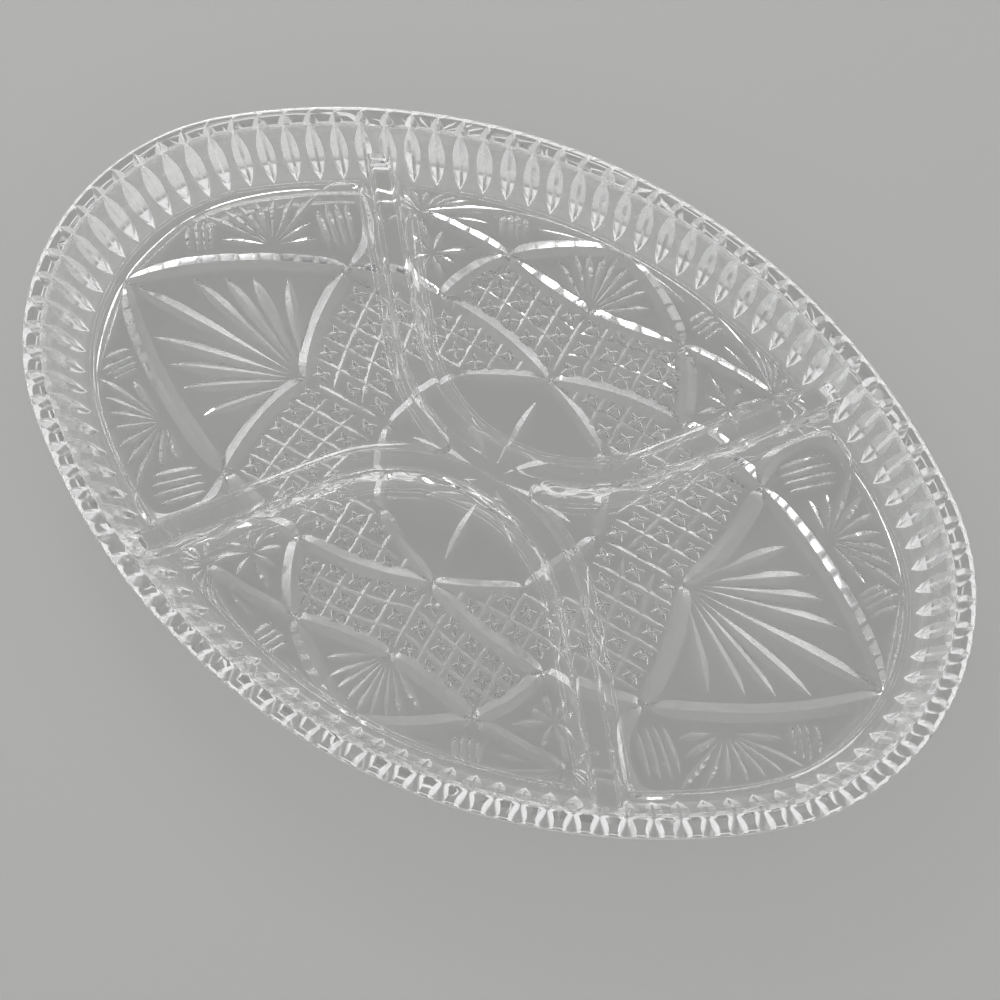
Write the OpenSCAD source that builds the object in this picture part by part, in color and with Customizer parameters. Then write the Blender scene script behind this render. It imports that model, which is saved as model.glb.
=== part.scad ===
// Divided oval relish tray in cut-style clear glass.
// One glass moulding, drawn as its floor, its four wall stretches and the
// two curved dividers that meet in a hub and part the tray into four bays.
// The tray stands on z = 0 with its long axis along X.

/* [Tray] */
// Overall length of the tray at the rim
tray_len = 318; // [290:2:340]
// Overall width of the tray at the rim
tray_w = 207; // [196:1:216]
// Height of the rim above the table
tray_h = 37; // [34:1:40]
// Radius of the rim outline round each end
end_r = 73.5; // [66:0.5:80]

/* [Wall] */
// Width of the flat band on top of the rim
rim_w = 6.3; // [5.5:0.1:7]
// Distance that the wall leans in from the rim to the foot
wall_run = 10; // [8.5:0.5:11]
// Outward bulge of the wall between foot and rim
wall_bulge = 2.9; // [2:0.1:3.4]
// Bevel on the edges of the rim
rim_bevel = 0.6; // [0.3:0.1:1]
// Distance from the rim outline in to the end of the cove on the floor
cove_in = 17; // [16:0.5:19]
// Radius of the cove between wall and floor
cove_r = 5.5; // [4:0.5:6.5]

/* [Floor] */
// Thickness of the floor
floor_t = 6.5; // [5.5:0.5:8]
// Distance from the rim outline in to the edge of the floor plate
plate_in = 12; // [11.5:0.5:13]

/* [Dividers] */
// Height of the dividers above the table
divider_h = 21.5; // [18:0.5:26]
// Width of the flat top of the dividers
divider_w = 7.5; // [6:0.5:9]
// Slope of the divider sides from upright, in degrees
divider_draft = 4; // [2:1:6]
// Radius of the hollow curve at the foot of the dividers
divider_foot_r = 4.5; // [3:0.5:6]
// Bevel on the top edges of the dividers
divider_bevel = 0.7; // [0.4:0.1:1.2]
// Radius of the bend in each divider, on its centre line
bend_r = 59; // [50:1:70]
// Direction of the straight arms, in degrees from the long axis
arm_angle = 51; // [48:1:54]
// Distance of a divider's centre line from the middle of the tray
divider_off = 5.2; // [4.5:0.1:6]
// Half length of the solid web that joins the two dividers
web_half = 18; // [16:1:20]
// Radius of the hollow ends of the web
web_r = 3; // [2:0.5:3.5]
// Drop from the flat tops of the dividers to the top of the web
web_drop = 0.3; // [0.2:0.1:0.5]

/* [Cutting] */
// Number of tall lens cuts round the wall
lens_count = 98; // [90:4:106]
// Height of the lower tip of a lens cut above the table
lens_foot = 1; // [0.6:0.2:4]
// Height of the upper tip of a lens cut above the table
lens_head = 31.5; // [28:0.5:32.5]
// Included angle of the cutting wheel's edge, in degrees
mitre_angle = 110; // [100:2:120]
// Width of the broad straps that part the floor pattern into panels
strap_w = 5; // [3.6:0.2:5.2]
// Width of the line that borders the floor pattern
line_w = 1.8; // [1.2:0.1:2]
// Width of the long rays of the fans at the two ends
ray_w = 4; // [3:0.2:4.2]
// Width of the petals of the small fans and stars
petal_w = 2.4; // [1.6:0.2:2.6]
// Width of the short cuts that stand in rows at the corners of the pattern
barrel_w = 2.2; // [1.6:0.2:2.4]

/* [Hidden] */
$fn = 96;
// Overrun of a cut past the face that it opens
cut = 1;
// Rise that blunts the feather edge of a cove or foot curve
lip = 0.25;
// Small cutter overrun below the floor
skim = 0.3;
// Uncut glass between the tip of a cut and the place that it runs to
tip_gap = 1;
// Uncut glass between the middle of an end fan and its rays
fan_gap = 5;
// Uncut glass between the middle of a small fan or star and its petals
petal_gap = 3.5;

// Four-centre oval of the rim: end arcs of end_r, side arcs of side_r, tangent
half_l = tray_len / 2;
half_w = tray_w / 2;
end_x = half_l - end_r;
side_r = (end_x * end_x + half_w * half_w - end_r * end_r) / (2 * (half_w - end_r));
side_y = side_r - half_w;
join_a = atan2(side_y, end_x);
end_arc = end_r * join_a * PI / 180;
side_arc = side_r * (90 - join_a) * PI / 180;
lens_pitch = 4 * (end_arc + side_arc) / lens_count;

// Bulged outer face of the wall: an arc through foot and rim
face_l = norm([wall_run, tray_h]);
face_r = (face_l * face_l / 4 + wall_bulge * wall_bulge) / (2 * wall_bulge);
face_a = atan2(tray_h, wall_run);
face_in = wall_run / 2 + (face_r - wall_bulge) * sin(face_a);
face_z = tray_h / 2 + (face_r - wall_bulge) * cos(face_a);

// Inner face of the wall: a line from the rim, tangent to the cove
cove_z = floor_t + cove_r - lip;
cove_run = cove_in - rim_w;
cove_drop = tray_h - cove_z;
cove_far = norm([cove_run, cove_drop]);
cove_a = -atan2(cove_drop, cove_run) - asin(cove_r / cove_far);
cove_tan = sqrt(cove_far * cove_far - cove_r * cove_r);
tan_in = rim_w + cove_tan * cos(cove_a);
tan_z = tray_h + cove_tan * sin(cove_a);

// Valley line of a lens cut, a chord of the bulged face from its foot to its head
foot_in = face_in - sqrt(face_r * face_r - (lens_foot - face_z) * (lens_foot - face_z));
head_in = face_in - sqrt(face_r * face_r - (lens_head - face_z) * (lens_head - face_z));
valley_a = atan2(lens_head - lens_foot, foot_in - head_in);
valley_l = norm([lens_head - lens_foot, foot_in - head_in]);
valley_d = valley_l * valley_l / (8 * face_r);
lens_half = valley_d * tan(mitre_angle / 2);
lens_last = floor(lens_count / 4);
lens_end = floor((end_arc + lens_half) / lens_pitch);
lens_side = ceil((end_arc - lens_half) / lens_pitch);

// Middle of the bend of the back divider, the start of its straight arms, and a
// length that carries an arm on past the wall's inner face, where it is trimmed
bend_y = divider_off + bend_r;
arm_x = bend_r * sin(arm_angle);
arm_y = bend_y - bend_r * cos(arm_angle);
arm_l = half_l - end_r;
foot_z = floor_t + divider_foot_r - lip;
foot_half = divider_w / 2 + (divider_h - foot_z) * tan(divider_draft);

// Half length and half width of the field that the floor pattern fills
field_x = half_l - plate_in;
field_y = half_w - plate_in;

// Floor pattern, back right quarter: places as shares of the field. A strap or line is
// a curve through its start, its middle and its end, a barrel runs from end to end, and
// a fan or star has its middle and the tips of its rays
strap_shares = [
    [[0.536, 0.447], [0.745, 0.29], [0.976, 0]],
    [[0.536, 0.447], [0.532, 0.23], [0.485, 0]],
    [[0.536, 0.447], [0.548, 0.6], [0.598, 0.69]],
    [[0.227, 0.774], [0.119, 0.903], [0, 0.985]],
    [[0.227, 0.774], [0.104, 0.737], [0, 0.721]],
    [[0.227, 0.774], [0.279, 0.654], [0.312, 0.514]],
    [[0.227, 0.774], [0.344, 0.779], [0.457, 0.768]],
    [[0.312, 0.514], [0.422, 0.495], [0.536, 0.447]],
    [[0.312, 0.514], [0.173, 0.503], [0, 0.425]],
    [[0.183, 0.284], [0.092, 0.36], [0, 0.425]],
    [[0.183, 0.284], [0.226, 0.145], [0.265, 0]]];
line_shares = [
    [[0.075, 0.975], [0.165, 0.962], [0.256, 0.935]],
    [[0.256, 0.935], [0.367, 0.86], [0.457, 0.768]],
    [[0.457, 0.768], [0.578, 0.73], [0.687, 0.667]],
    [[0.687, 0.667], [0.81, 0.535], [0.912, 0.361]],
    [[0.912, 0.361], [0.952, 0.188], [0.976, 0]]];
barrel_shares = [
    [[0.575, 0.574], [0.619, 0.65]], [[0.582, 0.543], [0.639, 0.634]],
    [[0.595, 0.521], [0.656, 0.612]], [[0.609, 0.498], [0.67, 0.585]],
    [[0.837, 0.268], [0.867, 0.339]], [[0.856, 0.249], [0.89, 0.333]], [[0.875, 0.232], [0.908, 0.315]],
    [[0.264, 0.825], [0.286, 0.896]], [[0.242, 0.839], [0.265, 0.914]], [[0.222, 0.852], [0.245, 0.925]],
    [[0.306, 0.848], [0.385, 0.805]]];
end_fan_shares = [[0.485, 0], [[0.846, 0.133], [0.778, 0.195], [0.72, 0.245], [0.646, 0.298]]];
fan_shares = [
    [[0, 0.721], [[0.03, 0.931], [0.059, 0.903], [0.083, 0.872], [0.107, 0.831]]],
    [[0.719, 0.388], [[0.693, 0.647], [0.737, 0.59], [0.776, 0.549], [0.81, 0.502], [0.839, 0.459],
                      [0.867, 0.415], [0.901, 0.363], [0.667, 0.536], [0.637, 0.485], [0.831, 0.313]]],
    [[0.385, 0.647], [[0.388, 0.746], [0.452, 0.736], [0.455, 0.656], [0.431, 0.565],
                      [0.385, 0.555], [0.332, 0.576], [0.325, 0.65], [0.305, 0.731]]],
    [[0.457, 0.768], [[0.395, 0.895], [0.434, 0.881], [0.465, 0.858], [0.5, 0.835], [0.531, 0.782]]],
    [[0, 0], [[0.113, 0.16]]]];
// Rays that lie on the long and the short axis
axis_shares = [[[0, 0.721], [0, 0.98]], [[0, 0], [0, 0.333]], [[0, 0], [0.206, 0]]];
ray_belly_share = 0.65;
// Steps along a strap and a barrel, and the power by which they narrow to their tips
strap_steps = 8;
barrel_steps = 4;
narrowing = 3;

function spot(share) = [share[0] * field_x, share[1] * field_y];
function mitre_depth(width) = width / 2 / tan(mitre_angle / 2);

// Plan of the tray, set in from the rim outline
module oval(inset) {
    for (side = [-1, 1])
        translate([side * end_x, 0]) circle(end_r - inset);
    intersection() {
        translate([0, side_y]) circle(side_r - inset);
        translate([0, -side_y]) circle(side_r - inset);
        polygon([[end_x, 0], [end_x + side_r * cos(join_a), side_r * sin(join_a)],
                 [-end_x - side_r * cos(join_a), side_r * sin(join_a)], [-end_x, 0],
                 [-end_x - side_r * cos(join_a), -side_r * sin(join_a)],
                 [end_x + side_r * cos(join_a), -side_r * sin(join_a)]]);
    }
}

// Section of the hollow of the tray: x runs outwards, rad is the rim radius
module hollow_section(rad) {
    intersection() {
        translate([0, floor_t]) square([rad, tray_h]);
        union() {
            polygon([[0, 0], [rad - cove_in, 0], [rad - cove_in, cove_z], [rad - tan_in, tan_z],
                     [rad - rim_w, tray_h], [rad - rim_w, tray_h + cut], [0, tray_h + cut]]);
            translate([rad - cove_in, cove_z]) circle(cove_r);
        }
    }
}

// Section of the wall: foot, bulged outer face, bevelled flat rim, inner face and cove
module wall_section(rad) {
    difference() {
        intersection() {
            polygon([[rad - plate_in, 0], [rad, 0], [rad, tray_h - rim_bevel],
                     [rad - rim_bevel, tray_h], [rad - rim_w + rim_bevel, tray_h],
                     [rad - rim_w - rim_bevel, tray_h - 2 * rim_bevel],
                     [rad - cove_in, floor_t], [rad - plate_in, floor_t]]);
            translate([rad - face_in, face_z]) circle(face_r, $fn = 360);
        }
        hollow_section(rad);
    }
}

// V-edged cutter whose valley leans with the wall, at a place on the rim outline
module lens_cutter() {
    translate([-foot_in, 0, lens_foot])
        rotate([0, 90 - valley_a, 0])
            translate([0, 0, -valley_l])
                linear_extrude(3 * valley_l)
                    polygon([[0, 0], [2 * valley_d, 2 * lens_half], [2 * valley_d, -2 * lens_half]]);
}

// Lens cut number k, counted along the rim from the right end
module lens_at(k) {
    run = abs(k) * lens_pitch;
    mirror([0, k < 0 ? 1 : 0, 0])
        if (run < end_arc)
            translate([end_x, 0]) rotate(run / end_r * 180 / PI)
                translate([end_r, 0]) lens_cutter();
        else
            translate([0, -side_y]) rotate(join_a + (run - end_arc) / side_r * 180 / PI)
                translate([side_r, 0]) lens_cutter();
}

module end_wall() {
    difference() {
        translate([end_x, 0]) rotate(-join_a) rotate_extrude(angle = 2 * join_a) wall_section(end_r);
        for (k = [-lens_end:lens_end]) lens_at(k);
    }
}

module side_wall() {
    difference() {
        translate([0, -side_y]) rotate(join_a)
            rotate_extrude(angle = 180 - 2 * join_a) wall_section(side_r);
        for (flip = [0, 1], k = [lens_side:lens_last]) mirror([flip, 0, 0]) lens_at(k);
    }
}

// Section of a divider on its centre line, x across it and y up
module divider_section() {
    difference() {
        polygon([[-foot_half - divider_foot_r, floor_t], [foot_half + divider_foot_r, floor_t],
                 [foot_half + divider_foot_r, foot_z], [foot_half, foot_z],
                 [divider_w / 2, divider_h - divider_bevel], [divider_w / 2 - divider_bevel, divider_h],
                 [divider_bevel - divider_w / 2, divider_h], [-divider_w / 2, divider_h - divider_bevel],
                 [-foot_half, foot_z], [-foot_half - divider_foot_r, foot_z]]);
        for (side = [-1, 1])
            translate([side * (foot_half + divider_foot_r), foot_z]) circle(divider_foot_r);
    }
}

// The bend of the back divider, between the ends of its two straight arms
module divider_bend() {
    translate([0, bend_y]) rotate(-90 - arm_angle)
        rotate_extrude(angle = 2 * arm_angle) translate([bend_r, 0]) divider_section();
}

// The back right arm, from the end of the bend out to the wall
module divider_arm() {
    intersection() {
        translate([arm_x, arm_y]) rotate([90, 0, arm_angle + 90])
            linear_extrude(arm_l) divider_section();
        translate([0, -side_y]) rotate_extrude() hollow_section(side_r);
    }
}

module divider_hub() {
    color("lightcyan") {
        for (flip = [0, 1])
            mirror([0, flip, 0]) intersection() {
                divider_bend();
                translate([-half_l, 0]) cube([tray_len, half_w, tray_h]);
            }
        difference() {
            translate([-web_half, -divider_off, floor_t])
                cube([2 * web_half, 2 * divider_off, divider_h - web_drop - floor_t]);
            for (side = [-1, 1])
                translate([side * web_half, 0, floor_t - cut]) cylinder(r = web_r, h = divider_h);
        }
    }
}

// V cut on the underside between two places, broad in the middle and pointed at both ends
module ray_cut(from, to, width, gap) {
    run = norm(to - from) - gap - tip_gap;
    depth = mitre_depth(width);
    over = skim / depth;
    belly = run * ray_belly_share;
    half = width / 2 * (1 + over);
    translate(from) rotate(atan2(to[1] - from[1], to[0] - from[0])) translate([gap, 0])
        polyhedron([[-over * belly, 0, -skim], [belly, half, -skim],
                    [run + over * (run - belly), 0, -skim], [belly, -half, -skim], [belly, 0, depth]],
                   [[0, 1, 4], [1, 2, 4], [2, 3, 4], [3, 0, 4], [3, 2, 1, 0]]);
}

// V cut along the curve through the start, middle and end of a route, of nearly even
// width between its pointed ends
module strap_cut(route, width, steps) {
    pull = 2 * route[1] - (route[0] + route[2]) / 2;
    from = route[0] + tip_gap * (pull - route[0]) / norm(pull - route[0]);
    to = route[2] + tip_gap * (pull - route[2]) / norm(pull - route[2]);
    places = [for (k = [0:steps]) let (t = k / steps)
                  (1 - t) * (1 - t) * from + 2 * t * (1 - t) * pull + t * t * to];
    half = [for (k = [0:steps]) width / 2 * (1 - pow(abs(2 * k / steps - 1), narrowing))];
    over = skim / mitre_depth(2 * half[1]);
    flare = skim * tan(mitre_angle / 2);
    first = places[0] + over * (places[0] - places[1]);
    last = places[steps] + over * (places[steps] - places[steps - 1]);
    points = [[first[0], first[1], -skim],
              for (k = [1:steps - 1])
                  let (way = (places[k + 1] - places[k - 1]) / norm(places[k + 1] - places[k - 1]),
                       aside = [-way[1], way[0]] * (half[k] + flare))
                  each [[places[k][0] + aside[0], places[k][1] + aside[1], -skim],
                        [places[k][0] - aside[0], places[k][1] - aside[1], -skim],
                        [places[k][0], places[k][1], mitre_depth(2 * half[k])]],
              [last[0], last[1], -skim]];
    end = len(points) - 1;
    polyhedron(points,
               [[0, 1, 3], [0, 3, 2], [2, 1, 0],
                for (k = [1:3:end - 5])
                    each [[k, k + 3, k + 5], [k, k + 5, k + 2], [k + 4, k + 1, k + 2],
                          [k + 4, k + 2, k + 5], [k + 1, k + 4, k + 3, k]],
                [end - 3, end, end - 1], [end, end - 2, end - 1], [end - 2, end, end - 3]]);
}

module floor_cuts() {
    for (flip_x = [0, 1], flip_y = [0, 1])
        mirror([flip_x, 0, 0]) mirror([0, flip_y, 0]) {
            for (route = strap_shares)
                strap_cut([for (share = route) spot(share)], strap_w, strap_steps);
            for (route = line_shares)
                strap_cut([for (share = route) spot(share)], line_w, strap_steps);
            for (ends = barrel_shares)
                strap_cut([spot(ends[0]), (spot(ends[0]) + spot(ends[1])) / 2, spot(ends[1])],
                          barrel_w, barrel_steps);
            for (tip = end_fan_shares[1])
                ray_cut(spot(end_fan_shares[0]), spot(tip), ray_w, fan_gap);
            for (fan = fan_shares, tip = fan[1])
                ray_cut(spot(fan[0]), spot(tip), petal_w, petal_gap);
        }
    for (flip = [0, 1])
        mirror([flip, 0, 0])
            ray_cut(spot(end_fan_shares[0]), spot(line_shares[4][2]), ray_w, fan_gap);
    for (flip = [0, 1], axis = axis_shares)
        mirror([flip * axis[1][0], flip * axis[1][1], 0])
            ray_cut(spot(axis[0]), spot(axis[1]), petal_w, petal_gap);
}

module floor() {
    color("azure") difference() {
        linear_extrude(floor_t) oval(plate_in, $fn = 360);
        floor_cuts();
    }
}

module wall_back() { color("aliceblue") side_wall(); }
module wall_front() { color("aliceblue") mirror([0, 1, 0]) side_wall(); }
module wall_left() { color("aliceblue") mirror([1, 0, 0]) end_wall(); }
module wall_right() { color("aliceblue") end_wall(); }
module divider_arm_back_left() { color("lightcyan") mirror([1, 0, 0]) divider_arm(); }
module divider_arm_back_right() { color("lightcyan") divider_arm(); }
module divider_arm_front_left() { color("lightcyan") mirror([1, 0, 0]) mirror([0, 1, 0]) divider_arm(); }
module divider_arm_front_right() { color("lightcyan") mirror([0, 1, 0]) divider_arm(); }

floor();
wall_back();
wall_front();
wall_left();
wall_right();
divider_hub();
divider_arm_back_left();
divider_arm_back_right();
divider_arm_front_left();
divider_arm_front_right();
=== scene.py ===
# %% [markdown]
# # A divided relish tray in cut-style glass
# The tray is one moulding of clear glass: an oval floor with a pattern cut into its
# underside, a leaning wall with tall lens cuts all round, and two curved dividers that
# touch in the middle and part the tray into four bays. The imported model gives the
# frame and the size. Everything here is in metres, on the same axes: the tray stands
# on z = 0, with its long axis along X.

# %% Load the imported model
import math
import bmesh
import bpy
from mathutils import Matrix, Vector, noise


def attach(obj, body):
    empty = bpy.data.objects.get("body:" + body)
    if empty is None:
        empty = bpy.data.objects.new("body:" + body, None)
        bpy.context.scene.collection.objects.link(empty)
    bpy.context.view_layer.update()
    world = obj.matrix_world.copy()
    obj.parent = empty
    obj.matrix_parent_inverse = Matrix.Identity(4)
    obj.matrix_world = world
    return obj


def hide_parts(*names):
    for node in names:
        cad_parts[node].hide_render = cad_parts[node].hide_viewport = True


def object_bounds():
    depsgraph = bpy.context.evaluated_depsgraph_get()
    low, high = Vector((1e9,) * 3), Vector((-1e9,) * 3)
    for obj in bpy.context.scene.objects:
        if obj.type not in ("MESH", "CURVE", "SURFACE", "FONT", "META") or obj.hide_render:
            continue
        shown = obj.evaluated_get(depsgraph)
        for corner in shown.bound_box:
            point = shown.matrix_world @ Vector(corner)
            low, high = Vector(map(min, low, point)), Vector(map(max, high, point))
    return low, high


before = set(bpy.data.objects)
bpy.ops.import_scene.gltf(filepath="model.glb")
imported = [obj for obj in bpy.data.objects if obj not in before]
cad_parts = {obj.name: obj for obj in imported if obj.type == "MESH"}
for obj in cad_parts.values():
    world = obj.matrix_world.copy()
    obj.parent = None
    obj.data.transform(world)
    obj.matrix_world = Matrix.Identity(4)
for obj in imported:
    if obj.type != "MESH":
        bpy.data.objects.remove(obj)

cad_low, cad_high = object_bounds()
print("packed size", [round(side, 4) for side in cad_high - cad_low])

# %% [markdown]
# ## The photograph's viewpoint
# The picture was taken from almost straight above, a little more than half a metre
# away. The camera comes first, so that every later step can be checked against the
# photograph. Its place is the tray's own frame turned and pushed away from the lens.

# %% Camera
mm = 0.001
camera = bpy.data.objects.new("camera", bpy.data.cameras.new("camera"))
bpy.context.scene.collection.objects.link(camera)
bpy.context.scene.camera = camera
camera.data.sensor_width = 36
camera.data.lens = 63
camera.data.clip_start = 0.01
turn = (Matrix.Rotation(math.radians(-12.739), 4, "X")
        @ Matrix.Rotation(math.radians(-1.955), 4, "Y")
        @ Matrix.Rotation(math.radians(-29.445), 4, "Z"))
tray_from_lens = Vector((-2.825, 6.145, -578.04)) * mm
camera.matrix_world = turn.inverted() @ Matrix.Translation(-tray_from_lens)
print("camera stands at", [round(place, 3) for place in camera.matrix_world.translation])

# %% [markdown]
# ## The oval
# The rim is a four-centre oval, the shape that a mould maker draws with a compass: a
# small arc round each end and a large arc along each side, tangent where they meet.
# Places on the tray are given by the run along the rim from the right end, and by the
# distance in from the rim.

# %% Four-centre oval
half_l = cad_high.x
half_w = cad_high.y
tray_h = cad_high.z
end_r = 73.5 * mm
end_x = half_l - end_r
side_r = (end_x ** 2 + half_w ** 2 - end_r ** 2) / (2 * (half_w - end_r))
side_y = side_r - half_w
join_a = math.atan2(side_y, end_x)
end_arc = end_r * join_a
side_arc = side_r * (math.pi / 2 - join_a)
quarter = end_arc + side_arc


def oval_point(run, inset):
    """The place on the oval at a run along the rim, set in towards the middle."""
    part = int(run // quarter) % 4
    rest = run - quarter * (run // quarter)
    if part % 2:
        rest = quarter - rest
    if rest < end_arc:
        angle = rest / end_r
        x = end_x + (end_r - inset) * math.cos(angle)
        y = (end_r - inset) * math.sin(angle)
    else:
        angle = join_a + (rest - end_arc) / side_r
        x = (side_r - inset) * math.cos(angle)
        y = (side_r - inset) * math.sin(angle) - side_y
    return Vector((-x if part in (1, 2) else x, -y if part in (2, 3) else y, 0))


print("side arc radius", round(side_r, 4), "rim length", round(4 * quarter, 4))

# %% [markdown]
# ## The section of the wall
# A section through the wall starts under the floor, turns up round the foot, follows
# the bulged outer face to the rim, crosses the flat rim and comes down the inner face
# into the cove. Each row of the section has its inset from the rim, its height, and
# the share of the full lens cut at that height.

# %% Wall section
rim_w = 6.3 * mm
wall_run = 10 * mm
wall_bulge = 2.9 * mm
floor_t = 6.5 * mm
cove_in = 17 * mm
cove_r = 5.5 * mm
lens_foot = 1 * mm
lens_head = 31.5 * mm
lens_rows = 22
plate_in = 16 * mm
foot_round = 0.7 * mm
rim_round = 0.8 * mm
foot_corner_steps = 4
corner_steps = 5
cove_steps = 10
inner_shares = (0.08, 0.35, 0.65, 0.92)

face_l = math.hypot(wall_run, tray_h)
face_r = (face_l ** 2 / 4 + wall_bulge ** 2) / (2 * wall_bulge)
face_a = math.atan2(tray_h, wall_run)
face_in = wall_run / 2 + (face_r - wall_bulge) * math.sin(face_a)
face_z = tray_h / 2 + (face_r - wall_bulge) * math.cos(face_a)


def face_inset(height):
    """Inset of the bulged outer face at a height."""
    return max(0, face_in - math.sqrt(face_r ** 2 - (height - face_z) ** 2))


def round_corner(start, corner, end, steps):
    """Points of a soft corner that leaves start towards corner and arrives at end."""
    for step in range(steps + 1):
        t = step / steps
        yield tuple((1 - t) ** 2 * a + 2 * t * (1 - t) * b + t * t * c
                    for a, b, c in zip(start, corner, end))


cove_z = floor_t + cove_r
cove_far = math.hypot(cove_in - rim_w, tray_h - cove_z)
lean = -math.atan2(tray_h - cove_z, cove_in - rim_w) - math.asin(cove_r / cove_far)
cove_tan = math.sqrt(cove_far ** 2 - cove_r ** 2)


def inner_face(distance):
    """Inset and height on the inner face, at a distance down from the rim."""
    return rim_w + distance * math.cos(lean), tray_h + distance * math.sin(lean)


section = [(plate_in, 0, 0)]
foot_corner = round_corner((face_inset(0) + foot_round, 0), (face_inset(0), 0),
                           (face_inset(foot_round), foot_round), foot_corner_steps)
section += [(inset, height, 0) for inset, height in foot_corner]
for row in range(lens_rows + 1):
    share = math.sin(math.pi * (row / lens_rows - 0.5))
    height = (lens_foot + lens_head) / 2 + share * (lens_head - lens_foot) / 2
    section.append((face_inset(height), height, 1 - share ** 2))
outer_round = round_corner((0, tray_h - rim_round), (0, tray_h), (rim_round, tray_h), corner_steps)
section += [(inset, height, 0) for inset, height in outer_round]
inner_round = round_corner((rim_w - rim_round, tray_h), (rim_w, tray_h),
                           inner_face(rim_round), corner_steps)
section += [(inset, height, 0) for inset, height in inner_round]
for share in inner_shares:
    section.append((*inner_face(rim_round + share * (cove_tan - rim_round)), 0))
tan_in, tan_z = inner_face(cove_tan)
cove_start = math.atan2(tan_z - cove_z, tan_in - cove_in) % (2 * math.pi)
for step in range(cove_steps + 1):
    angle = cove_start + (1.5 * math.pi - cove_start) * step / cove_steps
    section.append((cove_in + cove_r * math.cos(angle), cove_z + cove_r * math.sin(angle), 0))
print("wall section has", len(section), "rows")

# %% [markdown]
# ## The wall with its lens cuts
# On the real wall a V-edged wheel leaves tall almond hollows side by side, each with a
# sharp valley down its middle. A grid has one group of four columns for each cut: the
# web between two cuts, the two edges of the almond, and its valley. The grid is bent
# round the oval, and the columns that meet at the tips are merged.

# %% Wall and floor body
lens_count = 98
lens_pitch = 4 * quarter / lens_count
lens_half = 2.9 * mm
lens_depth = 2.7 * mm
merge_dist = 0.005 * mm
glass = bmesh.new()
columns = lens_count * 4
rows = len(section) - 1
bmesh.ops.create_grid(glass, x_segments=columns, y_segments=rows, size=1)
for vert in glass.verts:
    column = round((vert.co.x + 1) / 2 * columns)
    inset, height, share = section[round((vert.co.y + 1) / 2 * rows)]
    lens, place = divmod(column, 4)
    aside = (-lens_pitch / 2, -lens_half * share, 0, lens_half * share)[place]
    if place == 2 and share > 0:
        depth = lens_depth * share
        inset, height = (inset + depth * (face_in - inset) / face_r,
                         height - depth * (height - face_z) / face_r)
    vert.co = oval_point(lens * lens_pitch + aside, inset)
    vert.co.z = height
bmesh.ops.remove_doubles(glass, verts=glass.verts, dist=merge_dist)
open_edges = [edge for edge in glass.edges if edge.is_boundary]
bmesh.ops.holes_fill(glass, edges=open_edges, sides=0)
bmesh.ops.recalc_face_normals(glass, faces=glass.faces)


def object_from(bm, name):
    """Turns a finished bmesh into an object of the scene."""
    mesh = bpy.data.meshes.new(name)
    bm.to_mesh(mesh)
    bm.free()
    made = bpy.data.objects.new(name, mesh)
    bpy.context.scene.collection.objects.link(made)
    return made


tray = object_from(glass, "tray_glass")
print("wall and floor:", len(tray.data.polygons), "faces")

# %% [markdown]
# ## Joining and cutting
# The mould presses wall, floor and dividers as one body, so they are united here, and
# the pattern is taken away from it. Each step is a Boolean whose result replaces the
# mesh, so nothing stays live at the end.


# %% Boolean helper
def combine(body, tool, operation):
    """Unites the tool with the body, or cuts it away, and removes the tool."""
    change = body.modifiers.new("combine", "BOOLEAN")
    change.operation = operation
    change.solver = "MANIFOLD"
    change.object = tool
    graph = bpy.context.evaluated_depsgraph_get()
    result = bpy.data.meshes.new_from_object(body.evaluated_get(graph))
    body.modifiers.remove(change)
    before = body.data
    body.data = result
    result.name = body.name
    bpy.data.meshes.remove(before)
    bpy.data.objects.remove(tool)


# %% [markdown]
# ## The dividers
# Each divider is a low wall with a flat top, slightly sloping sides and a hollow curve
# at its foot. Its plan is a straight arm, a wide bend and a second straight arm. The
# section is extruded along the first arm in short steps, spun round the bend and
# extruded again, and each of its points goes as far as the inside of the tray's wall.
# Glass chills unevenly in a deep mould, so the sides get the shallow waves that make a
# divider glitter. They fade out at the floor and at the flat top. Their noise has a
# fixed seed, because it would otherwise start from the clock and differ in each run.

# %% Divider section
divider_h = 21.5 * mm
divider_w = 7.5 * mm
draft = math.radians(4)
divider_foot_r = 5.5 * mm
edge_round = 1.5 * mm
sunk = 1 * mm
foot_lift = 0.05 * mm
foot_steps = 9
side_margin = 0.6 * mm
side_steps = 7
wave_l = 6 * mm
wave_h = 0.9 * mm
wave_fade = 2.5 * mm
wave_squeeze = 1.8
wave_seed = 1795996040
arm_steps = 40
arm_overlap = 1.2 * mm
bend_steps = 72
divider_merge = 0.001 * mm
bend_r = 59 * mm
arm_angle = math.radians(51)
divider_off = 5.2 * mm
foot_z = floor_t + divider_foot_r - foot_lift
foot_half = divider_w / 2 + (divider_h - foot_z) * math.tan(draft)


def side_half(height):
    """Half width of the divider at a height on its sloping side."""
    return divider_w / 2 + (divider_h - height) * math.tan(draft)


def divider_outline():
    """Right half of the section, from the sunken foot up to the middle of the top."""
    points = [(foot_half + divider_foot_r, floor_t - sunk)]
    for step in range(foot_steps + 1):
        angle = -math.pi / 2 - (math.pi / 2 - draft) * step / foot_steps
        points.append((foot_half + divider_foot_r + divider_foot_r * math.cos(angle),
                       foot_z + divider_foot_r * math.sin(angle)))
    low = foot_z + side_margin
    high = divider_h - edge_round - side_margin
    for step in range(side_steps + 1):
        height = low + (high - low) * step / side_steps
        points.append((side_half(height), height))
    points += round_corner((side_half(divider_h - edge_round), divider_h - edge_round),
                           (side_half(divider_h), divider_h),
                           (side_half(divider_h) - edge_round, divider_h), corner_steps)
    return points


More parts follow.
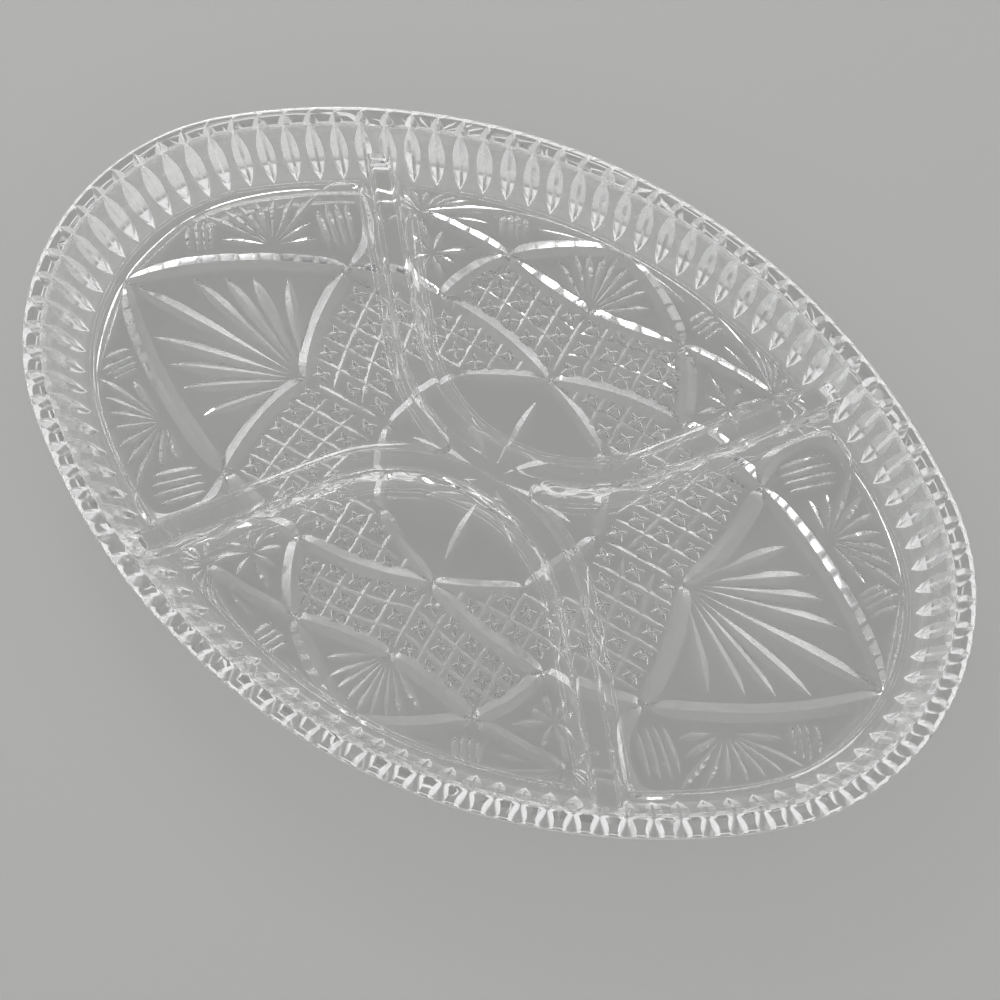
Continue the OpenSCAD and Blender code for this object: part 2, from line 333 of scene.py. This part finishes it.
half_outline = divider_outline()
outline = half_outline + [(-across, up) for across, up in reversed(half_outline)]
bend_centre = Vector((0, divider_off + bend_r, 0))
arm_start = Vector((bend_r * math.sin(arm_angle),
                    bend_centre.y - bend_r * math.cos(arm_angle), 0))
arm_way = Vector((math.cos(arm_angle), math.sin(arm_angle), 0))
print("divider section has", len(outline), "points")


# %% Dividers
def arm_reach(point, way):
    """How far a point slides along the arm to end a little inside the wall's inner face."""
    height = max(point.z, floor_t)
    if height > tan_z:
        inset = inner_face((height - tray_h) / math.sin(lean))[0]
    else:
        inset = cove_in - math.sqrt(max(0, cove_r ** 2 - (height - cove_z) ** 2))
    radius = side_r - inset + arm_overlap
    flat = Vector((point.x, abs(point.y) + side_y, 0))
    ahead = Vector((way.x, abs(way.y), 0))
    along = flat.dot(ahead)
    return math.sqrt(along ** 2 - flat.length_squared + radius ** 2) - along


def add_arm(bm, region, way):
    """Extrudes the section along an arm in short steps, up to its end inside the wall."""
    reach = {}
    for item in region:
        if isinstance(item, bmesh.types.BMVert):
            reach[item.co.cross(way).freeze()] = arm_reach(item.co, way)
    for step in range(arm_steps):
        region = bmesh.ops.extrude_face_region(bm, geom=region)["geom"]
        for item in region:
            if isinstance(item, bmesh.types.BMVert):
                place = min(reach, key=lambda known: (known - item.co.cross(way)).length_squared)
                item.co += way * reach[place] / arm_steps


def divider_body(side):
    """One whole divider; side is 1 for the back one and -1 for the front one."""
    bm = bmesh.new()
    start = Vector((-arm_start.x, arm_start.y, 0))
    way = Vector((-arm_way.x, arm_way.y, 0))
    across = Vector((way.y, -way.x, 0))
    verts = [bm.verts.new(start + across * a + Vector((0, 0, b))) for a, b in outline]
    first = bm.faces.new(verts)
    region = [first, *first.edges, *first.verts]
    add_arm(bm, region, way)
    spun = bmesh.ops.spin(bm, geom=region, cent=bend_centre, axis=(0, 0, 1),
                          angle=2 * arm_angle, steps=bend_steps)
    add_arm(bm, spun["geom_last"], arm_way)
    bmesh.ops.remove_doubles(bm, verts=bm.verts, dist=divider_merge)
    for vert in bm.verts:
        depth = min(divider_h - vert.co.z, vert.co.z - floor_t)
        swell = max(0, min(1, depth / wave_fade))
        shift = noise.noise_vector(Vector((vert.co.x, vert.co.y, vert.co.z * wave_squeeze)) / wave_l)
        vert.co += Vector((shift.x, shift.y, 0)) * wave_h * swell
    bmesh.ops.scale(bm, vec=(1, side, 1), verts=bm.verts)
    bmesh.ops.recalc_face_normals(bm, faces=bm.faces)
    open_edges = [edge for edge in bm.edges if not edge.is_manifold]
    print("divider", side, len(bm.faces), "faces,", len(open_edges), "open edges")
    return object_from(bm, "divider")


noise.seed_set(wave_seed)
combine(tray, divider_body(1), "UNION")
combine(tray, divider_body(-1), "UNION")
print("with dividers:", len(tray.data.polygons), "faces")

# %% [markdown]
# ## The hub
# Where the two bends touch, the glass between them is filled up to just below their
# tops. The fill is a block whose two ends are hollowed by an upright round, so that
# each end of the hub is a smooth notch.

# %% Hub web
web_half = 18 * mm
web_r = 3 * mm
web_drop = 0.25 * mm
web_steps = 12
web = bmesh.new()
web_outline = []
for side in (1, -1):
    web_outline.append((side * web_half, -side * divider_off))
    for step in range(1, web_steps):
        angle = math.pi / 2 * (3 if side > 0 else 1) - math.pi * step / web_steps
        web_outline.append((side * web_half + web_r * math.cos(angle), web_r * math.sin(angle)))
    web_outline.append((side * web_half, side * divider_off))
web_face = web.faces.new([web.verts.new((x, y, floor_t - sunk)) for x, y in web_outline])
raised = bmesh.ops.extrude_face_region(web, geom=[web_face])
bmesh.ops.translate(web, vec=(0, 0, divider_h - web_drop - floor_t + sunk),
                    verts=[item for item in raised["geom"] if isinstance(item, bmesh.types.BMVert)])
bmesh.ops.recalc_face_normals(web, faces=web.faces)
combine(tray, object_from(web, "web"), "UNION")
print("with hub:", len(tray.data.polygons), "faces")

# %% [markdown]
# ## The cuts of the floor pattern
# A cut is a narrow V groove in the underside, pointed at both ends. Its cutter is a
# four-sided spindle: a sphere with four sides, stretched along a smooth path. A high
# fullness gives a strap of even width, a low one gives an almond, and the belly says
# where the groove is widest.

# %% Spindle cutter
mitre = math.radians(55)
same_place = 0.1 * mm
cuts = []


def smooth_path(points, share):
    """A place on the one smooth curve through two to four places, at a share of its length."""
    places = list(points)
    at = share * (len(points) - 1)
    for level in range(1, len(points)):
        places = [((k + level - at) * places[k] + (at - k) * places[k + 1]) / level
                  for k in range(len(places) - 1)]
    return places[0]


def gap_between(first, second):
    """The widest distance between the places of two paths."""
    return max((p - q).length for p, q in zip(first, second))


def cut(points, width, fullness=2, belly=0.5, depth=1):
    """Notes one cut and its mirror images in the other three quarters."""
    for flip_x in (1, -1):
        for flip_y in (1, -1):
            way = [Vector((flip_x * x, flip_y * y, 0)) * mm for x, y in points]
            same = any(len(other[0]) == len(way)
                       and (gap_between(other[0], way) < same_place
                            or gap_between(other[0], reversed(way)) < same_place)
                       for other in cuts[-4:])
            if not same:
                cuts.append((way, width, fullness, belly, depth))


def fan(middle, tips, width, gap=3, **shape):
    """Rays that spread from a middle, each starting a little way out."""
    for tip in tips:
        way = Vector(tip) - Vector(middle)
        start = Vector(middle) + way.normalized() * gap
        cut([tuple(start), tip], width, **shape)


# %% [markdown]
# ## Drawing the pattern
# The pattern is symmetric about both axes, so only the back right quarter is drawn, in
# millimetres. Broad curved straps part the field into panels, a fine line borders it,
# and fans, stars, rows of short barrels and hatched bands fill the panels.

# %% Straps and border lines
strap_w = 6.2 * mm
slim_strap_w = 4.6 * mm
border_w = 2 * mm
strap_fullness = 9
for strap in ([(78.8, 40.9), (102.4, 30.4), (124.6, 17), (143.4, 0)],
              [(78.8, 40.9), (78.7, 27), (76.6, 13.2), (71.3, 0)],
              [(78.8, 40.9), (78.2, 54.9), (88.6, 65.6), (101, 61)],
              [(33.4, 70.8), (17.2, 82.8), (0, 90.8)],
              [(0, 66), (16.5, 67.4), (33.4, 70.8)],
              [(33.4, 70.8), (41, 60), (45.8, 47)],
              [(45.8, 47), (62.3, 45.2), (78.8, 40.9)],
              [(45.8, 47), (23, 45.6), (0, 38.9)]):
    cut(strap, strap_w, fullness=strap_fullness)
for strap in ([(33.4, 70.8), (50.4, 71.2), (67.2, 70.3)],
              [(0, 38.9), (13.4, 33.4), (26.9, 26)],
              [(26.9, 26), (33.9, 13.4), (39, 0)]):
    cut(strap, slim_strap_w, fullness=strap_fullness)
for border in ([(0, 91), (20, 89.8), (37.9, 86.2)],
               [(37.9, 86.2), (54, 79), (67.2, 70.3)],
               [(67.2, 70.3), (85, 67.2), (101, 61)],
               [(101, 61), (118.5, 49.5), (134.1, 33)],
               [(134.1, 33), (140, 17.5), (143.4, 0)]):
    cut(border, border_w, fullness=8)

# %% Fans, stars and barrels
long_ray_w = 5.2 * mm
ray_w = 4.4 * mm
star_w = 4 * mm
petal_w = 2.7 * mm
small_petal_w = 2.5 * mm
fine_petal_w = 2.2 * mm
barrel_w = 2.6 * mm
leaf_w = 1.8 * mm
fan((71.3, 0), [(143.4, 0)], long_ray_w, gap=5, belly=0.65)
fan((71.3, 0), [(124.3, 12.2), (114.3, 17.8), (105.8, 22.4), (94.9, 27.3)], ray_w, gap=5, belly=0.65)
fan((105.7, 35.5), [(101.8, 59.2), (108.4, 54), (114, 50.2), (119.1, 45.9), (123.4, 42), (127.5, 38),
                    (132.5, 33.2), (98, 49), (93.7, 44.4), (122.2, 28.6)], petal_w, gap=2.5, belly=0.6)
fan((0, 66), [(0, 89.8), (4.9, 86.9), (9.8, 84.9), (13.7, 82), (17.6, 77.1)], petal_w, gap=3, belly=0.62)
fan((56.6, 59.2), [(57.1, 68.3), (66.4, 67.3), (66.9, 60), (63.4, 51.7), (56.6, 50.8), (48.8, 52.7),
                   (47.8, 59.5), (44.9, 66.9)], small_petal_w, gap=1, belly=0.55)
fan((67.2, 70.3), [(54.7, 82.5), (58.6, 82), (63.4, 81), (69.3, 78.1), (74.2, 76.1), (78.1, 71.2),
                   (81, 64.4), (61.5, 62.5), (74.2, 60.5)], fine_petal_w, gap=1.5, belly=0.6)
fan((0, 0), [(0, 30.5), (30.3, 0), (16.6, 14.6)], star_w, gap=4, belly=0.6)
for barrel in ([(80.8, 49), (91.5, 60.3)], [(82.4, 46.6), (94.8, 58.8)], [(84.5, 45), (97.5, 56.8)],
               [(87.3, 43.7), (99, 53.8)], [(123, 24), (128, 31.2)], [(124.3, 22.3), (131, 31.2)],
               [(126.3, 21), (133.3, 30.8)], [(129, 19.7), (134.8, 27)], [(42, 82.7), (38.8, 76)],
               [(39.9, 84.2), (35.7, 76.6)], [(37.8, 85.2), (33.5, 77.2)], [(34.8, 85.1), (31.3, 79)]):
    cut(barrel, barrel_w, fullness=3)
for leaf in ([(142.4, 1.8), (138.5, 15), (134.6, 29.4)], [(9.8, 88.8), (29.3, 83.9)],
             [(45, 77.6), (56.6, 73.7)]):
    cut(leaf, leaf_w)

# %% Hatched bands
hatch_w = 2 * mm
for hatch in ([(43, 0), (68.3, 0)], [(42, 8.1), (72.8, 8.1)], [(40.5, 15.7), (74.1, 15.7)],
              [(39, 23.4), (75.4, 23.4)], [(38, 31.2), (75, 31.2)], [(44, 37.6), (75.3, 37.6)],
              [(61.3, 1.7), (64.9, 20), (66.7, 41)], [(50.3, 1.8), (55.9, 21), (58, 43)],
              [(41.5, 9.5), (46.8, 26.5), (48.8, 45)],
              [(0, 49.3), (21, 54.6), (42.3, 56.1)], [(0, 57.8), (19.5, 61.6), (38.5, 62.6)],
              [(0, 42), (0, 64)], [(8.9, 45.1), (8.9, 66)], [(17.6, 47.4), (17.6, 67.9)],
              [(25.9, 49), (25.9, 68)], [(33.4, 50), (33.4, 67)],
              [(10.7, 36), (10.7, 41)], [(19.5, 31), (19.5, 44)], [(28.3, 27.3), (28.3, 46)],
              [(36.6, 25.4), (36.6, 46.5)], [(12.7, 37.6), (44.9, 37.6)], [(27.3, 28.3), (39, 28.3)]):
    cut(hatch, hatch_w, fullness=10)

# %% A star in each cell of the bands
stroke_w = 2.2 * mm
stroke_depth = 1.4
side_cells = [(67.4, 3.9), (69.3, 11.4), (70.1, 18.9), (71, 26.6), (71, 34.1), (55.8, 4.1), (58.2, 11.4),
              (60.1, 19), (61.7, 26.9), (62, 34.6), (44.9, 4.2), (48.8, 11.6), (51.2, 19), (52.7, 26.8),
              (53.2, 34.4), (43.4, 27)]
upper_cells = [(4.5, 45.6), (4.5, 54), (4.4, 62.1), (13.3, 48.4), (13.4, 56.4), (13, 64.2), (21.5, 50.6),
               (21.8, 57.9), (21.3, 64.7), (29.3, 51.6), (29.8, 59), (29.6, 64.7), (37.3, 53.7), (36.5, 60)]
lower_cells = [(41.1, 40.9), (32.4, 40.7), (23.9, 40.9), (15.5, 40.4), (40.4, 33.6), (32.1, 32.9),
               (24.3, 32.4)]
for cells, rise, fall in ((side_cells, (3, 2.1), (2.9, -1.8)), (upper_cells, (2.3, 2.8), (2.9, -1.75)),
                          (lower_cells, (2.3, 2.8), (2.9, -1.75))):
    for x, y in cells:
        for a, b in (rise, fall):
            cut([(x - a, y - b), (x + a, y + b)], stroke_w, depth=stroke_depth)
print(len(cuts), "cuts in the floor")

# %% [markdown]
# ## Cutting in rounds
# Cuts that cross must not be in the same cutter, so the cuts are dealt out to rounds:
# each cut covers some squares of a fine grid, and it goes into the first round in which
# none of its squares is taken. Each round is one Boolean.


# %% Deal the cuts out to rounds
square = 0.8 * mm
margin = 0.3 * mm
step_l = 0.3 * mm
step_w = 0.4 * mm


def footprint(points, width):
    """The squares of the grid that a cut covers, with a margin."""
    length = sum((b - a).length for a, b in zip(points, points[1:]))
    steps = int(length / step_l) + 2
    reach = width / 2 + margin
    sides = int(reach / step_w) + 1
    covered = set()
    for step in range(steps + 1):
        here = smooth_path(points, step / steps)
        for i in range(-sides, sides + 1):
            for j in range(-sides, sides + 1):
                covered.add((int((here.x + i * reach / sides) // square),
                             int((here.y + j * reach / sides) // square)))
    return covered


rounds = []
for way, width, fullness, belly, depth in cuts:
    covered = footprint(way, width)
    for taken, members in rounds:
        if taken.isdisjoint(covered):
            break
    else:
        taken, members = set(), []
        rounds.append((taken, members))
    taken |= covered
    members.append((way, width, fullness, belly, depth))
print("rounds of cuts:", [len(members) for taken, members in rounds])


# %% Cut the floor
ring_counts = {2: 12, 3: 28, 4: 44}
near = 0.01
tiny = 1e-4


def add_spindle(bm, points, width, fullness, belly, depth):
    """Adds the cutter of one cut: a four-sided spindle along its path."""
    made = bmesh.ops.create_uvsphere(bm, u_segments=4, v_segments=ring_counts[len(points)], radius=1)
    skew = math.log(0.5) / math.log(belly)
    for vert in made["verts"]:
        share = math.acos(max(-1, min(1, -vert.co.z))) / math.pi
        swell = 1 - abs(2 * share ** skew - 1) ** fullness
        size = math.hypot(vert.co.x, vert.co.y)
        aside = round(vert.co.x / size) if size > tiny else 0
        above = round(vert.co.y / size) if size > tiny else 0
        here = smooth_path(points, share)
        ahead = smooth_path(points, min(share + near, 1)) - smooth_path(points, max(share - near, 0))
        across = Vector((-ahead.y, ahead.x, 0)).normalized()
        half = width / 2 * swell
        vert.co = here + across * aside * half
        vert.co.z = above * half / math.tan(mitre) * depth


for taken, members in rounds:
    cutter = bmesh.new()
    for member in members:
        add_spindle(cutter, *member)
    combine(tray, object_from(cutter, "cutter"), "DIFFERENCE")
print("cut tray:", len(tray.data.polygons), "faces")

# %% [markdown]
# ## Crisp and soft edges
# Pressed glass is bright because its flat facets meet in crisp lines, while coves and
# rounded edges flow. The mesh is shaded smooth, edges sharper than 30 degrees stay
# crisp, and flat tops and the flat underside keep one direction all over. The facets of
# the cuts are marked by an attribute, which the material reads.

# %% Shading
field_inset = 12 * mm
cut_height = 4 * mm
cut_slope = (-0.95, -0.3)
lens_out = 0.3
lens_aside = 0.1
flat_slope = 0.9999
crisp_angle = math.radians(30)
sliver = 0.0003 * mm


def wall_outward(place):
    """The level direction straight out through the wall, from the centre of the nearest arc."""
    out = Vector((abs(place.x) - end_x, abs(place.y)))
    if math.atan2(out.y, out.x) > join_a:
        out = Vector((abs(place.x), abs(place.y) + side_y))
    out.normalize()
    return Vector((math.copysign(out.x, place.x), math.copysign(out.y, place.y), 0))


def is_cut(face):
    """Whether a face is a facet of a floor cut or of a lens cut."""
    place, normal = face.calc_center_median(), face.normal
    along, across = place.x / (half_l - field_inset), place.y / (half_w - field_inset)
    if along ** 2 + across ** 2 < 1:
        return place.z < cut_height and cut_slope[0] < normal.z < cut_slope[1]
    out = wall_outward(place)
    aside = out.x * normal.y - out.y * normal.x
    return lens_foot < place.z < lens_head and out.dot(normal) > lens_out and abs(aside) > lens_aside


check = bmesh.new()
check.from_mesh(tray.data)
bmesh.ops.dissolve_degenerate(check, edges=check.edges, dist=sliver)
cut_face = check.faces.layers.float.new("cut_face")
for face in check.faces:
    face[cut_face] = 1.0 if is_cut(face) else 0.0
print("cut facets:", sum(face[cut_face] > 0 for face in check.faces), "of", len(check.faces))
open_edges = [edge for edge in check.edges if not edge.is_manifold]
triangles = sum(len(face.verts) - 2 for face in check.faces)
print("triangles:", triangles, "open edges:", len(open_edges))
check.to_mesh(tray.data)
check.free()
tray.data.set_sharp_from_angle(angle=crisp_angle)
for face in tray.data.polygons:
    face.use_smooth = abs(face.normal.z) < flat_slope
tray.data.update()

# %% [markdown]
# ## The glass
# Clear table glass is colourless, with an index of refraction near 1.5. Pressed glass
# is never optically flat: its skin undulates very slightly, which makes reflections in
# it swim, and handling leaves faint smudges. A node group gives both, from noise on
# the object's own coordinates, and makes the facets of the cuts a little less glossy.
# The shader itself keeps plain values. Light that is caught between facets turns many
# times before it leaves, so a path that has been reflected twice, or has met eight
# faces, ends in a soft white. Shadows and scattered light pass straight through.


# %% Glass skin group
def new_group(name, inputs, outputs):
    """An empty shader node group with its sockets."""
    group = bpy.data.node_groups.new(name, "ShaderNodeTree")
    for label, kind, value in inputs:
        socket = group.interface.new_socket(label, in_out="INPUT", socket_type=kind)
        socket.default_value = value
    for label, kind in outputs:
        group.interface.new_socket(label, in_out="OUTPUT", socket_type=kind)
    return group


skin = new_group("pressed_glass_skin",
                 [("Ripple size", "NodeSocketFloat", 60.0), ("Ripple height", "NodeSocketFloat", 0.3),
                  ("Smudge", "NodeSocketFloat", 0.02), ("Cut face", "NodeSocketFloat", 0.0),
                  ("Cut roughness", "NodeSocketFloat", 0.11)],
                 [("Roughness", "NodeSocketFloat"), ("Normal", "NodeSocketVector")])
nodes, links = skin.nodes, skin.links
given = nodes.new("NodeGroupInput")
result = nodes.new("NodeGroupOutput")
place = nodes.new("ShaderNodeTexCoord")
ripple = nodes.new("ShaderNodeTexNoise")
ripple.inputs["Detail"].default_value = 2
links.new(place.outputs["Object"], ripple.inputs["Vector"])
links.new(given.outputs["Ripple size"], ripple.inputs["Scale"])
bump = nodes.new("ShaderNodeBump")
bump.inputs["Distance"].default_value = 0.0002
links.new(given.outputs["Ripple height"], bump.inputs["Strength"])
links.new(ripple.outputs["Fac"], bump.inputs["Height"])
smudge = nodes.new("ShaderNodeTexNoise")
smudge.inputs["Scale"].default_value = 22
smudge.inputs["Detail"].default_value = 5
links.new(place.outputs["Object"], smudge.inputs["Vector"])
spread = nodes.new("ShaderNodeMapRange")
spread.inputs["From Min"].default_value = 0.5
spread.inputs["From Max"].default_value = 0.75
links.new(smudge.outputs["Fac"], spread.inputs["Value"])
links.new(given.outputs["Smudge"], spread.inputs["To Max"])
cut_skin = nodes.new("ShaderNodeMath")
cut_skin.operation = "MULTIPLY_ADD"
links.new(given.outputs["Cut face"], cut_skin.inputs[0])
links.new(given.outputs["Cut roughness"], cut_skin.inputs[1])
links.new(spread.outputs["Result"], cut_skin.inputs[2])
links.new(cut_skin.outputs["Value"], result.inputs["Roughness"])
links.new(bump.outputs["Normal"], result.inputs["Normal"])

# %% Glass material
clear = bpy.data.materials.new("clear_pressed_glass")
clear.use_nodes = True
shader = clear.node_tree.nodes["Principled BSDF"]
shader.inputs["Base Color"].default_value = (0.985, 0.99, 0.988, 1)
shader.inputs["Metallic"].default_value = 0
shader.inputs["Transmission Weight"].default_value = 1
shader.inputs["IOR"].default_value = 1.5
surface = clear.node_tree.nodes.new("ShaderNodeGroup")
surface.node_tree = skin
facets = clear.node_tree.nodes.new("ShaderNodeAttribute")
facets.attribute_name = "cut_face"
clear.node_tree.links.new(facets.outputs["Fac"], surface.inputs["Cut face"])
clear.node_tree.links.new(surface.outputs["Roughness"], shader.inputs["Roughness"])
clear.node_tree.links.new(surface.outputs["Normal"], shader.inputs["Normal"])
light_path = clear.node_tree.nodes.new("ShaderNodeLightPath")


def over_any(limits):
    """A mask that is 1 where any of the named outputs of the light path is over its limit."""
    mask = None
    for output, limit in limits:
        over = clear.node_tree.nodes.new("ShaderNodeMath")
        over.operation = "GREATER_THAN"
        over.inputs[1].default_value = limit
        clear.node_tree.links.new(light_path.outputs[output], over.inputs[0])
        if mask is None:
            mask = over.outputs["Value"]
            continue
        either = clear.node_tree.nodes.new("ShaderNodeMath")
        either.operation = "MAXIMUM"
        clear.node_tree.links.new(mask, either.inputs[0])
        clear.node_tree.links.new(over.outputs["Value"], either.inputs[1])
        mask = either.outputs["Value"]
    return mask


def mixed(mask, first, second):
    """A Mix Shader between two shaders."""
    mix = clear.node_tree.nodes.new("ShaderNodeMixShader")
    clear.node_tree.links.new(mask, mix.inputs["Fac"])
    clear.node_tree.links.new(first, mix.inputs[1])
    clear.node_tree.links.new(second, mix.inputs[2])
    return mix.outputs["Shader"]


trapped = clear.node_tree.nodes.new("ShaderNodeBsdfDiffuse")
trapped.inputs["Color"].default_value = (0.97, 0.975, 0.97, 1)
open_way = clear.node_tree.nodes.new("ShaderNodeBsdfTransparent")
open_way.inputs["Color"].default_value = (0.9, 0.9, 0.9, 1)
caught = over_any([("Glossy Depth", 1.5), ("Ray Depth", 7.5)])
passing = over_any([("Is Shadow Ray", 0.5), ("Is Diffuse Ray", 0.5)])
seen = mixed(caught, shader.outputs["BSDF"], trapped.outputs["BSDF"])
seen = mixed(passing, seen, open_way.outputs["BSDF"])
clear.node_tree.links.new(seen, clear.node_tree.nodes["Material Output"].inputs["Surface"])
tray.data.materials.clear()
tray.data.materials.append(clear)

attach(tray, "root")
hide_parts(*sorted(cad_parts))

# %% [markdown]
# ## Floor and light
# The tray stands on a plain pale floor. Clear glass shows nothing but what is round
# it, so the light has some shape: two narrow bright rings, one over the other, in a dim
# room. The facets of the cuts turn the rings towards the lens, and the dividers' curves
# draw them out into streaks. One soft window gives the shadow.

# %% Floor
floor_reach = 60
floor_gap = 0.3 * mm
stand = bmesh.new()
bmesh.ops.create_grid(stand, x_segments=1, y_segments=1, size=floor_reach)
bmesh.ops.translate(stand, vec=(0, 0, -floor_gap), verts=stand.verts)
ground = object_from(stand, "ground")
pale = bpy.data.materials.new("pale_floor")
pale.use_nodes = True
pale.node_tree.nodes["Principled BSDF"].inputs["Base Color"].default_value = (0.42, 0.42, 0.41, 1)
pale.node_tree.nodes["Principled BSDF"].inputs["Roughness"].default_value = 0.9
ground.data.materials.append(pale)

# %% Light
world = bpy.data.worlds.new("studio")
bpy.context.scene.world = world
world.use_nodes = True
nodes, links = world.node_tree.nodes, world.node_tree.links
sky = nodes["Background"]
way = nodes.new("ShaderNodeTexCoord")
parts = nodes.new("ShaderNodeSeparateXYZ")
links.new(way.outputs["Generated"], parts.inputs["Vector"])
height_ramp = nodes.new("ShaderNodeValToRGB")
ring = 8
dim = 0.15
stops = height_ramp.color_ramp.elements
for place, level in ((0, 0.45), (0.05, 0.8), (0.35, 0.4), (0.5, dim), (0.575, dim), (0.58, ring),
                     (0.61, ring), (0.615, dim), (0.84, dim), (0.843, ring), (0.862, ring), (0.865, dim)):
    stop = stops.new(place) if place else stops[0]
    stop.color = (level / ring, level / ring, level / ring, 1)
stops[len(stops) - 1].color = (dim / ring, dim / ring, dim / ring, 1)
print("light by height:", [(round(stop.position, 2), round(stop.color[0] * ring, 2)) for stop in stops])
sky.inputs["Strength"].default_value = ring
links.new(parts.outputs["Z"], height_ramp.inputs["Fac"])
links.new(height_ramp.outputs["Color"], sky.inputs["Color"])


def softbox(name, place, size, power):
    """A square lamp that faces the middle of the tray."""
    lamp = bpy.data.objects.new(name, bpy.data.lights.new(name, "AREA"))
    lamp.data.size = size
    lamp.data.energy = power
    lamp.matrix_world = (Matrix.Translation(place)
                         @ (-Vector(place)).to_track_quat("-Z", "Y").to_matrix().to_4x4())
    bpy.context.scene.collection.objects.link(lamp)
    return lamp


softbox("window", (-1.1, 1.0, 1.1), 0.6, 9)
bpy.context.scene.view_settings.view_transform = "Standard"
